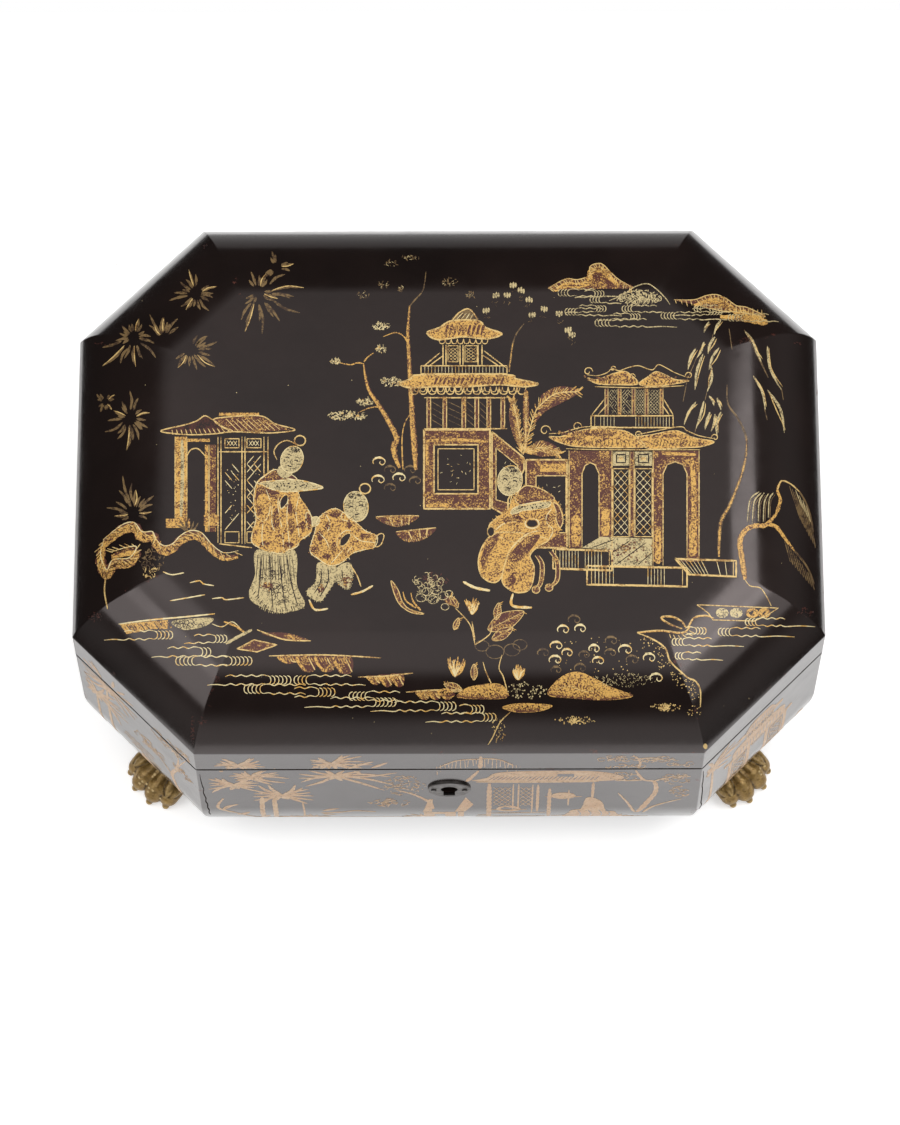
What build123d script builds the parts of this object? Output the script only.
from build123d import *
import os
from math import cos, radians, sin, sqrt, tan

# An octagonal lacquered games box: a domed lid hinged at the back, on four carved paw feet.
# Millimetres. The origin is on the floor under the middle, +Z is up and the front faces -Y.

# Case
width = 360.0
depth = 272.0
corner_cut = 59.0
foot_height = 22.0
base_height = 95.0
wall_thickness = 13.0
board_thickness = 10.0
base_round_radius = 90.0
base_round_height = 38.0

# Lid
seam_gap = 0.3
rim_height = 23.0
dome_rise = 35.5
dome_run = 49.0
lid_wall = 12.0
panel_thickness = 8.0
ledge_thickness = 5.0
ledge_width = 6.0

# Paw feet
foot_inset = 31.0
ankle_top_radius = 15.0
ankle_waist_radius = 13.0
ankle_sole_radius = 14.0
instep_root_radius = 12.5
instep_tip_radius = 9.0
instep_reach = 18.0
toe_root_radius = 7.0
toe_tip_radius = 4.6
toe_root_reach = 6.0
toe_root_height = 12.5
toe_tip_height = 4.2
inner_toe_reach = 33.5
outer_toe_reach = 31.5
inner_toe_turn = 8.0
outer_toe_turn = 21.5
claw_radius = 2.3
claw_overhang = 4.2
claw_height = 2.2

# Butt hinges, set in from the back so that the bevelled edges stop the lid
hinge_corner_distance = 26.0
hinge_length = 38.0
hinge_setback = 2.2
knuckle_radius = 2.6
knuckle_gap = 0.3
pin_radius = 1.25
leaf_depth = 8.4
leaf_thickness = 1.4
hinge_screw_spread = 26.0
hinge_screw_inset = 5.6
lid_stop_angle = 100.0
bevel_spare_angle = 1.5

# Keyhole plate
keyplate_radius = 10.4
keyplate_thickness = 1.5
keyplate_drop = 27.6
keyplate_edge = 0.4
keyhole_radius = 4.1
keyhole_rise = 0.9
keyhole_slot_width = 5.6
keyhole_slot_drop = 7.8
tack_spread = 15.0

# Lock in the front wall
lock_width = 50.0
lock_height = 44.0
lock_depth = 8.0
lock_plate_width = 64.0
lock_plate_height = 47.0
lock_plate_thickness = 1.5
lock_cap_thickness = 1.0
lock_screw_margin = 3.6
key_post_radius = 1.4
key_post_setback = 3.0
bolt_drop = 13.5
bolt_height = 6.0
bolt_travel = 6.0
bolt_notch_width = 6.0
bolt_notch_depth = 1.4
tongue_height = 3.0
tongue_thickness = 1.8
tongue_root = 2.4
stud_radius = 1.0
stud_offset = 8.0
spring_thickness = 0.6
spring_width = 3.0
spring_drop = 12.0

# Strike on the lid
strike_width = 48.0
strike_depth = 6.0
strike_thickness = 1.4
staple_spread = 26.0
staple_thickness = 2.0
staple_width = 4.4
staple_bar = 2.0

# Screws and pins
screw_radius = 1.1
screw_head_radius = 2.1
screw_head_depth = 1.2
screw_length = 9.0
short_screw_length = 6.0
foot_screw_radius = 2.0
foot_screw_head_radius = 4.0
foot_screw_head_depth = 2.2
foot_screw_length = 22.0
tack_radius = 0.7
tack_head_radius = 1.3
tack_head_height = 0.6
tack_length = 6.0

# Counter boxes
middle_box_width = 112.0
box_side_clearance = 0.8
box_gap = 1.0
box_wall = 4.0
box_floor = 4.0
cover_recess = 18.0
cover_thickness = 5.0
cover_edge = 1.0
plug_depth = 3.0

# Fits
pin_clearance = 0.05
screw_clearance = 0.05
slide_clearance = 0.25
staple_clearance = 0.5
groove_clearance = 0.5
plug_clearance = 0.5
overrun = 5.0

# The eight sides, in 45 degree steps from the front, with the way each one faces
side_angle = 45.0
side_signs = {
    "front": (0, -1),
    "front_right": (1, -1),
    "right": (1, 0),
    "back_right": (1, 1),
    "back": (0, 1),
    "back_left": (-1, 1),
    "left": (-1, 0),
    "front_left": (-1, -1),
}
corner_names = ("front_left", "front_right", "back_left", "back_right")

# Levels and places that follow from the sizes above
mitre_slope = tan(radians(side_angle / 2))
corner_share = 2 - sqrt(2)
board_top = foot_height + board_thickness
base_round_top = foot_height + base_round_height
seam = foot_height + base_height
lid_bottom = seam + seam_gap
rim_top = seam + rim_height
lid_peak = rim_top + dome_rise
panel_bottom = lid_peak - panel_thickness
ledge_bottom = panel_bottom - ledge_thickness
hinge_y = depth / 2 - hinge_setback
hinge_z = seam + seam_gap / 2
hinge_spread = width - 2 * corner_cut - 2 * hinge_corner_distance
hinge_middles = {"left": -hinge_spread / 2, "right": hinge_spread / 2}
knuckle_length = (hinge_length - 2 * knuckle_gap) / 3
front_y = -depth / 2
inner_y = front_y + wall_thickness
lock_front_y = inner_y - lock_depth
lock_back_y = inner_y - lock_plate_thickness
works_front_y = lock_front_y + lock_cap_thickness
works_y = (works_front_y + lock_back_y) / 2
lock_bottom = seam - lock_height
selvedge_bottom = seam - lock_plate_thickness
keyplate_z = seam - keyplate_drop
keyhole_z = keyplate_z + keyhole_rise
bolt_top = seam - bolt_drop
bolt_bottom = bolt_top - bolt_height
bolt_middle = (bolt_top + bolt_bottom) / 2
staple_bottom = bolt_top + staple_clearance
eye_bottom = staple_bottom + staple_bar
tongue_bottom = eye_bottom + staple_clearance
tongue_top = tongue_bottom + tongue_height
staple_middles = (-staple_spread / 2, staple_spread / 2)
box_top = seam - cover_recess
box_rim = box_top - cover_thickness


def face_of(points):
    """Flat face inside a closed outline of straight lines."""
    return make_face(Polyline(*points, close=True))


def prism(face, low, high):
    """A plan face raised from one level to another."""
    return Pos(0, 0, low) * extrude(face, high - low)


def block(x_range, y_range, z_range):
    """A box between two places on each axis."""
    sizes = [high - low for low, high in (x_range, y_range, z_range)]
    corner = Pos(x_range[0], y_range[0], z_range[0])
    return corner * Box(*sizes, align=(Align.MIN, Align.MIN, Align.MIN))


def about(middle, half):
    """The range that reaches half to each side of a middle."""
    return (middle - half, middle + half)


def rod_x(radius, x_range, y, z):
    """A round rod along X."""
    low, high = x_range
    return Pos((low + high) / 2, y, z) * Rot(0, 90, 0) * Cylinder(radius, high - low)


def rod_y(radius, y_range, x, z):
    """A round rod along Y."""
    low, high = y_range
    return Pos(x, (low + high) / 2, z) * Rot(90, 0, 0) * Cylinder(radius, high - low)


def octagon(inset):
    """The plan outline, moved inward by an inset."""
    x = width / 2 - inset
    y = depth / 2 - inset
    cut = corner_cut - inset * corner_share
    right = [(x - cut, -y), (x, cut - y), (x, y - cut), (x - cut, y)]
    left = [(-px, -py) for px, py in right]
    return face_of(right + left)


def side_frame(name):
    """Place of a side's middle, with local +Y pointing inward, and the side's length."""
    x_sign, y_sign = side_signs[name]
    canted = x_sign * y_sign != 0
    trim = corner_cut if canted else 0
    middle = (x_sign * (width - trim) / 2, y_sign * (depth - trim) / 2, 0)
    turn = list(side_signs).index(name) * side_angle
    if canted:
        length = corner_cut * sqrt(2)
    else:
        length = (width if x_sign == 0 else depth) - 2 * corner_cut
    return Location(middle, (0, 0, turn)), length


def mitred(profile, name, reach):
    """A profile of inward distance and height, run along a side between its mitre planes."""
    place, length = side_frame(name)
    bar = extrude(Plane.YZ * profile, length, both=True)
    ends = [(length / 2 - inward * mitre_slope, inward) for inward in (-overrun, reach + overrun)]
    outline = ends + [(-x, inward) for x, inward in reversed(ends)]
    return place * (bar & prism(face_of(outline), 0, lid_peak + overrun))


def base_inset(height):
    """How far the rounded base has drawn in at a height."""
    drop = max(0, base_round_top - height)
    return base_round_radius - sqrt(base_round_radius**2 - drop**2)


def screw(radius, head_radius, head_depth, length, spare=0):
    """A countersunk screw pointing down from the origin, or its hole when spare is given."""
    rim = head_radius + spare
    shank = radius + spare
    end = length + spare
    outline = [(0, 0), (rim, 0), (shank, -head_depth), (shank, -end), (0, -end)]
    return revolve(Plane.XZ * face_of(outline), Axis.Z)


def brass_screw(spare=0, length=screw_length):
    """A screw of the hinges, lock or strike."""
    return screw(screw_radius, screw_head_radius, screw_head_depth, length, spare)


def foot_screws(spare=0):
    """The screws that hold the feet, down through the bottom board."""
    one = screw(
        foot_screw_radius, foot_screw_head_radius, foot_screw_head_depth, foot_screw_length, spare
    )
    return [side_frame(name)[0] * Pos(0, foot_inset, board_top) * one for name in corner_names]


def hinge_screws(lid, spare=0):
    """The screws of both hinges, up into the lid or down into the back wall."""
    facing = Rot(180, 0, 0) if lid else Rot(0, 0, 0)
    level = lid_bottom if lid else seam
    half = hinge_screw_spread / 2
    places = [(middle + step, hinge_y - hinge_screw_inset, level)
              for middle in hinge_middles.values() for step in (-half, 0, half)]
    return [Pos(*place) * facing * brass_screw(spare) for place in places]


def lock_screws(spare=0):
    """The screws at the corners of the lock plate, out from the inner face of the wall."""
    x = lock_plate_width / 2 - lock_screw_margin
    low = seam - lock_plate_height + lock_screw_margin
    high = selvedge_bottom - lock_screw_margin
    one = Rot(-90, 0, 0) * brass_screw(spare, short_screw_length)
    return [Pos(sign * x, inner_y, z) * one for sign in (-1, 1) for z in (low, high)]


def strike_screws(spare=0):
    """The screws of the strike, up into the lid outside the staples."""
    x = (staple_spread + strike_width) / 4
    one = Rot(180, 0, 0) * brass_screw(spare)
    return [Pos(sign * x, works_y, lid_bottom) * one for sign in (-1, 1)]


def keyplate_tacks(spare=0):
    """The round-headed pins beside the keyhole."""
    face_y = front_y - keyplate_thickness
    head = (face_y - tack_head_height, face_y)
    shank = (face_y, face_y + tack_length + spare)
    return [
        rod_y(tack_head_radius, head, x, keyplate_z) + rod_y(tack_radius + spare, shank, x, keyplate_z)
        for x in about(0, tack_spread / 2)
    ]


def keyhole():
    """The keyhole's outline as a bar through the front wall."""
    along_y = (front_y - overrun, inner_y)
    eye = rod_y(keyhole_radius, along_y, 0, keyhole_z)
    slot = (keyplate_z - keyhole_slot_drop, keyhole_z)
    return eye + block(about(0, keyhole_slot_width / 2), along_y, slot)


def back_bevel(sign):
    """Wedge behind the hinge line: below it for the base, above it for the lid."""
    reach = hinge_setback + overrun
    slope = tan(radians(lid_stop_angle / 2 + bevel_spare_angle))
    outline = [(0, 0), (reach, 0), (reach, sign * reach * slope)]
    return Pos(0, hinge_y, hinge_z) * extrude(Plane.YZ * face_of(outline), width, both=True)


def hinge_room(z_range):
    """Mortises for the leaves of both hinges, with room round their barrels."""
    room = []
    for middle in hinge_middles.values():
        x_range = about(middle, hinge_length / 2)
        room.append(block(x_range, (hinge_y - leaf_depth, hinge_y), z_range))
        barrel = about(middle, hinge_length / 2 + groove_clearance)
        room.append(rod_x(knuckle_radius + groove_clearance, barrel, hinge_y, hinge_z))
    return room


def bottom_board():
    """The bottom, whose edge carries the rounding of the walls down to the feet."""
    board = prism(octagon(0), foot_height, board_top)
    levels = (foot_height, board_top, base_round_top)
    spans = {"front": depth, "right": width}
    for name in list(side_signs)[:4]:
        place, _ = side_frame(name)
        span = spans.get(name, (width + depth - 2 * corner_cut) / sqrt(2))
        near = ThreePointArc(*[(base_inset(z), z) for z in levels])
        far = ThreePointArc(*[(span - base_inset(z), z) for z in levels])
        section = make_face([near, far, Line(near @ 0, far @ 0), Line(near @ 1, far @ 1)])
        board &= place * extrude(Plane.YZ * section, width + depth, both=True)
    return board - foot_screws(screw_clearance)


def base_wall(name):
    """One wall of the base, standing on the bottom board."""
    levels = (board_top, (board_top + base_round_top) / 2, base_round_top)
    rounding = ThreePointArc(*[(base_inset(z), z) for z in levels])
    rest = Polyline(
        rounding @ 1, (0, seam), (wall_thickness, seam), (wall_thickness, board_top), rounding @ 0
    )
    return mitred(make_face([rounding, rest]), name, wall_thickness)


def front_wall():
    """The front wall, with the keyhole and the lock's mortise."""
    above = (lock_bottom, seam + overrun)
    plate = (seam - lock_plate_height, seam + overrun)
    wall = base_wall("front")
    wall -= block(about(0, lock_width / 2), (lock_front_y, inner_y), above)
    wall -= block(about(0, lock_plate_width / 2), (lock_back_y, inner_y + overrun), plate)
    return wall - keyhole() - lock_screws(screw_clearance) - keyplate_tacks(screw_clearance)


def back_wall():
    """The back wall, with the hinge mortises and its bevelled upper edge."""
    wall = base_wall("back") - back_bevel(-1)
    return wall - hinge_room((seam - leaf_thickness, seam + overrun)) - hinge_screws(False, screw_clearance)


def dome_arc(inward, low, high):
    """Arc from a vertical side up to the edge of the flat top, level where it arrives."""
    run = dome_run - inward
    rise = high - low
    radius = (run**2 + rise**2) / (2 * rise)
    half_run = run / 2
    middle_height = high - radius + sqrt(radius**2 - half_run**2)
    return ThreePointArc((inward, low), (dome_run - half_run, middle_height), (dome_run, high))


def lid_side(name):
    """One side of the lid: the upright rim, the curved facet above it and the panel's ledge."""
    outer = dome_arc(0, rim_top, lid_peak)
    inner = dome_arc(lid_wall, rim_top, ledge_bottom)
    ledge_end = dome_run + ledge_width
    top = Polyline(
        outer @ 1, (dome_run, panel_bottom), (ledge_end, panel_bottom), (ledge_end, ledge_bottom), inner @ 1
    )
    rim = Polyline(inner @ 0, (lid_wall, lid_bottom), (0, lid_bottom), outer @ 0)
    return mitred(make_face([outer, top, inner, rim]), name, ledge_end)


def lid_front():
    """The front of the lid, with the strike let into its underside."""
    plate = block(
        about(0, strike_width / 2),
        about(works_y, strike_depth / 2),
        (lid_bottom - overrun, lid_bottom + strike_thickness),
    )
    return lid_side("front") - plate - strike_screws(screw_clearance)


def lid_back():
    """The back of the lid, with the hinge mortises and its bevelled lower edge."""
    side = lid_side("back") - back_bevel(1)
    return side - hinge_room((lid_bottom - overrun, lid_bottom + leaf_thickness)) - hinge_screws(
        True, screw_clearance
    )


def finger(root_radius, tip_radius, reach, turn):
    """A round tapering finger from inside the ankle down to a rounded tip near the floor."""
    along = Vector(sin(radians(turn)), -cos(radians(turn)), 0)
    root = along * toe_root_reach + Vector(0, 0, toe_root_height)
    tip = along * reach + Vector(0, 0, toe_tip_height + (tip_radius - toe_tip_radius) / 2)
    length = (tip - root).length
    slant = tip_radius * sin(radians(side_angle))
    nose = ThreePointArc((tip_radius, length), (slant, length + slant), (0, length + tip_radius))
    sides = Polyline(nose @ 1, (0, 0), (root_radius, 0), nose @ 0)
    return Plane(origin=root, z_dir=tip - root) * revolve(Plane.XZ * make_face([nose, sides]), Axis.Z)


def toe(reach, turn):
    """One toe of a paw with its round claw."""
    claw = Rot(0, 0, turn) * Pos(0, -reach - claw_overhang, claw_height) * Sphere(claw_radius)
    return finger(toe_root_radius, toe_tip_radius, reach, turn) + claw


def paw_foot():
    """A paw about its ankle, toes towards -Y, flat under the bottom board and on the floor."""
    waist = ThreePointArc(
        (ankle_sole_radius, 0), (ankle_waist_radius, foot_height / 2), (ankle_top_radius, foot_height)
    )
    core = Polyline(waist @ 1, (0, foot_height), (0, 0), waist @ 0)
    paw = revolve(Plane.XZ * make_face([waist, core]), Axis.Z)
    paw += finger(instep_root_radius, instep_tip_radius, instep_reach, 0)
    for sign in (-1, 1):
        paw += toe(inner_toe_reach, sign * inner_toe_turn)
        paw += toe(outer_toe_reach, sign * outer_toe_turn)
    reach = inner_toe_reach + claw_overhang + overrun
    return paw & block(about(0, reach), about(0, reach), (0, foot_height))


def foot(name):
    """A paw foot under one canted corner, drilled for its screw."""
    paw = side_frame(name)[0] * Pos(0, foot_inset) * paw_foot()
    return paw - foot_screws(screw_clearance)


def knuckles(middle, lid):
    """Barrel stretches of a hinge leaf: the middle one on the lid, the outer two on the base."""
    step = knuckle_length + knuckle_gap
    middles = (middle,) if lid else about(middle, step)
    return [about(one, knuckle_length / 2) for one in middles]


def hinge_leaf(middle, lid):
    """One leaf of a butt hinge with its knuckles."""
    z_range = (lid_bottom, lid_bottom + leaf_thickness) if lid else (seam - leaf_thickness, seam)
    leaf = block(about(middle, hinge_length / 2), (hinge_y - leaf_depth, hinge_y), z_range)
    for low, high in knuckles(middle, not lid):
        clear = (low - knuckle_gap, high + knuckle_gap)
        leaf -= rod_x(knuckle_radius + knuckle_gap, clear, hinge_y, hinge_z)
    for stretch in knuckles(middle, lid):
        leaf += rod_x(knuckle_radius, stretch, hinge_y, hinge_z)
    bore = about(middle, hinge_length)
    leaf -= rod_x(pin_radius + pin_clearance, bore, hinge_y, hinge_z)
    return leaf - hinge_screws(lid, screw_clearance)


def hinge_pin(middle):
    """The pin of one hinge."""
    return rod_x(pin_radius, about(middle, hinge_length / 2), hinge_y, hinge_z)


def keyhole_plate():
    """The round plate on the front, proud of the lacquer."""
    plate = rod_y(keyplate_radius, (front_y - keyplate_thickness, front_y), 0, keyplate_z)
    plate = chamfer(plate.edges().sort_by(Axis.Y)[0], keyplate_edge)
    return plate - keyhole() - keyplate_tacks(screw_clearance)


def lock_plate():
    """The plate on the inner face, with the selvedge over the works and the bolt's stud."""
    plate_z = (seam - lock_plate_height, seam)
    plate = block(about(0, lock_plate_width / 2), (lock_back_y, inner_y), plate_z)
    selvedge_z = (selvedge_bottom, seam)
    plate += block(about(0, lock_width / 2), (lock_front_y, lock_back_y), selvedge_z)
    for middle in staple_middles:
        plate -= block(
            about(middle, staple_thickness / 2 + staple_clearance),
            about(works_y, staple_width / 2 + staple_clearance),
            (selvedge_bottom - overrun, seam + overrun),
        )
    plate += rod_y(stud_radius, (works_front_y, lock_back_y), -stud_offset, bolt_middle)
    return plate - lock_screws(screw_clearance)


def lock_cap():
    """The bent cover of the works, against the wood."""
    z_range = (lock_bottom, selvedge_bottom)
    half = lock_width / 2
    cap = block(about(0, half), (lock_front_y, works_front_y), z_range)
    for x_range in ((-half, lock_cap_thickness - half), (half - lock_cap_thickness, half)):
        cap += block(x_range, (works_front_y, lock_back_y), z_range)
    return cap - keyhole()


def tongue_tip(middle):
    """Where a tongue ends at rest, just short of its staple."""
    return middle - staple_thickness / 2 - staple_clearance


def lock_bolt():
    """The sliding bolt, whose two tongues pass through the staples."""
    roots = [tongue_tip(middle) - bolt_travel for middle in staple_middles]
    body_y = (works_front_y + slide_clearance, lock_back_y - slide_clearance)
    bolt = block((roots[0] - tongue_root, roots[1]), body_y, (bolt_bottom, bolt_top))
    thin_y = about(works_y, tongue_thickness / 2)
    for root, middle in zip(roots, staple_middles):
        bolt += block((root - tongue_root, root), thin_y, (bolt_top, tongue_top))
        bolt += block((root, tongue_tip(middle)), thin_y, (tongue_bottom, tongue_top))
    notch_z = (bolt_bottom - overrun, bolt_bottom + bolt_notch_depth)
    bolt -= block(about(0, bolt_notch_width / 2), body_y, notch_z)
    room = stud_radius + slide_clearance
    slot_x = (-stud_offset - bolt_travel - room, room - stud_offset)
    return bolt - block(slot_x, body_y, about(bolt_middle, room))


def lock_spring():
    """The bent leaf spring that bears on the underside of the bolt."""
    side = lock_width / 2 - lock_cap_thickness
    low = bolt_bottom - spring_drop
    bend = bolt_bottom - spring_drop / 2
    top = bolt_bottom - slide_clearance
    tip = tongue_tip(staple_middles[1]) - bolt_travel - tongue_root
    back = [(side, low), (side, bend), (tip, top)]
    inside = [(tip, top - spring_thickness), (side - spring_thickness, bend - spring_thickness)]
    outline = face_of(back + inside + [(side - spring_thickness, low)])
    return Pos(0, works_y, 0) * extrude(Plane.XZ * outline, spring_width / 2, both=True)


def key_post():
    """The post that a hollow key turns on."""
    return rod_y(key_post_radius, (front_y + key_post_setback, lock_back_y), 0, keyhole_z)


def strike():
    """The plate under the lid with its two staples."""
    plate_z = (lid_bottom, lid_bottom + strike_thickness)
    plate = block(about(0, strike_width / 2), about(works_y, strike_depth / 2), plate_z)
    eye_y = about(works_y, tongue_thickness / 2 + staple_clearance)
    for middle in staple_middles:
        x_range = about(middle, staple_thickness / 2)
        plate += block(x_range, about(works_y, staple_width / 2), (staple_bottom, lid_bottom))
        plate -= block(x_range, eye_y, (eye_bottom, tongue_top + staple_clearance))
    return plate - strike_screws(screw_clearance)


def cell(column, row, inset):
    """Plan of one counter box in the grid of three by two, moved inward by an inset."""
    far = width + depth
    half = middle_box_width / 2
    x_low = (-half if column == 0 else half + box_gap) + inset
    x_high = half - inset if column == 0 else far
    y_low = box_gap / 2 + inset
    low = (min(x_low, x_high), y_low)
    outline = [low, (x_high, y_low), (x_high, far), (x_low, far)]
    x_sign = -1 if column < 0 else 1
    placed = face_of([(x_sign * x, row * y) for x, y in outline])
    return placed & octagon(wall_thickness + box_side_clearance + inset)


def counter_box(column, row):
    """One open box of the fitted inside."""
    body = prism(cell(column, row, 0), board_top, box_rim)
    return body - prism(cell(column, row, box_wall), board_top + box_floor, box_rim + overrun)


def counter_cover(column, row):
    """The lift-off cover of a counter box, with a plug that drops inside it."""
    lid = prism(cell(column, row, 0), box_rim, box_top)
    lid = fillet(lid.faces().sort_by(Axis.Z)[-1].edges(), cover_edge)
    plug = prism(cell(column, row, box_wall + plug_clearance), box_rim - plug_depth, box_rim)
    return lid + plug


def nodes():
    """Every piece of the box by name."""
    pieces = {"bottom_board": bottom_board(), "lid_top": prism(octagon(dome_run), panel_bottom, lid_peak)}
    special_walls = {"front": front_wall, "back": back_wall}
    special_lids = {"front": lid_front, "back": lid_back}
    for name in side_signs:
        wall = special_walls[name]() if name in special_walls else base_wall(name)
        side = special_lids[name]() if name in special_lids else lid_side(name)
        if name in ("back_left", "back_right"):
            wall -= back_bevel(-1)
            side -= back_bevel(1)
        pieces[f"wall_{name}"] = wall
        pieces[f"lid_{name}"] = side
    for name in corner_names:
        pieces[f"foot_{name}"] = foot(name)
    for name, middle in hinge_middles.items():
        pieces[f"hinge_leaf_base_{name}"] = hinge_leaf(middle, False)
        pieces[f"hinge_leaf_lid_{name}"] = hinge_leaf(middle, True)
        pieces[f"hinge_pin_{name}"] = hinge_pin(middle)
    pieces["keyhole_plate"] = keyhole_plate()
    pieces["lock_plate"] = lock_plate()
    pieces["lock_cap"] = lock_cap()
    pieces["lock_bolt"] = lock_bolt()
    pieces["lock_spring"] = lock_spring()
    pieces["key_post"] = key_post()
    pieces["strike"] = strike()
    rows = {"front": -1, "back": 1}
    columns = {"left": -1, "middle": 0, "right": 1}
    for row_name, row in rows.items():
        for column_name, column in columns.items():
            place = f"{row_name}_{column_name}"
            pieces[f"counter_box_{place}"] = counter_box(column, row)
            pieces[f"counter_cover_{place}"] = counter_cover(column, row)
    groups = {
        "foot_screws": foot_screws(),
        "hinge_screws_base": hinge_screws(False),
        "hinge_screws_lid": hinge_screws(True),
        "keyplate_tacks": keyplate_tacks(),
        "lock_screws": lock_screws(),
        "strike_screws": strike_screws(),
    }
    for name, solids in groups.items():
        pieces[name] = Compound([part.solid() for part in solids])
    return pieces


os.makedirs("parts", exist_ok=True)
for node, piece in nodes().items():
    export_step(piece, f"parts/{node}.step")
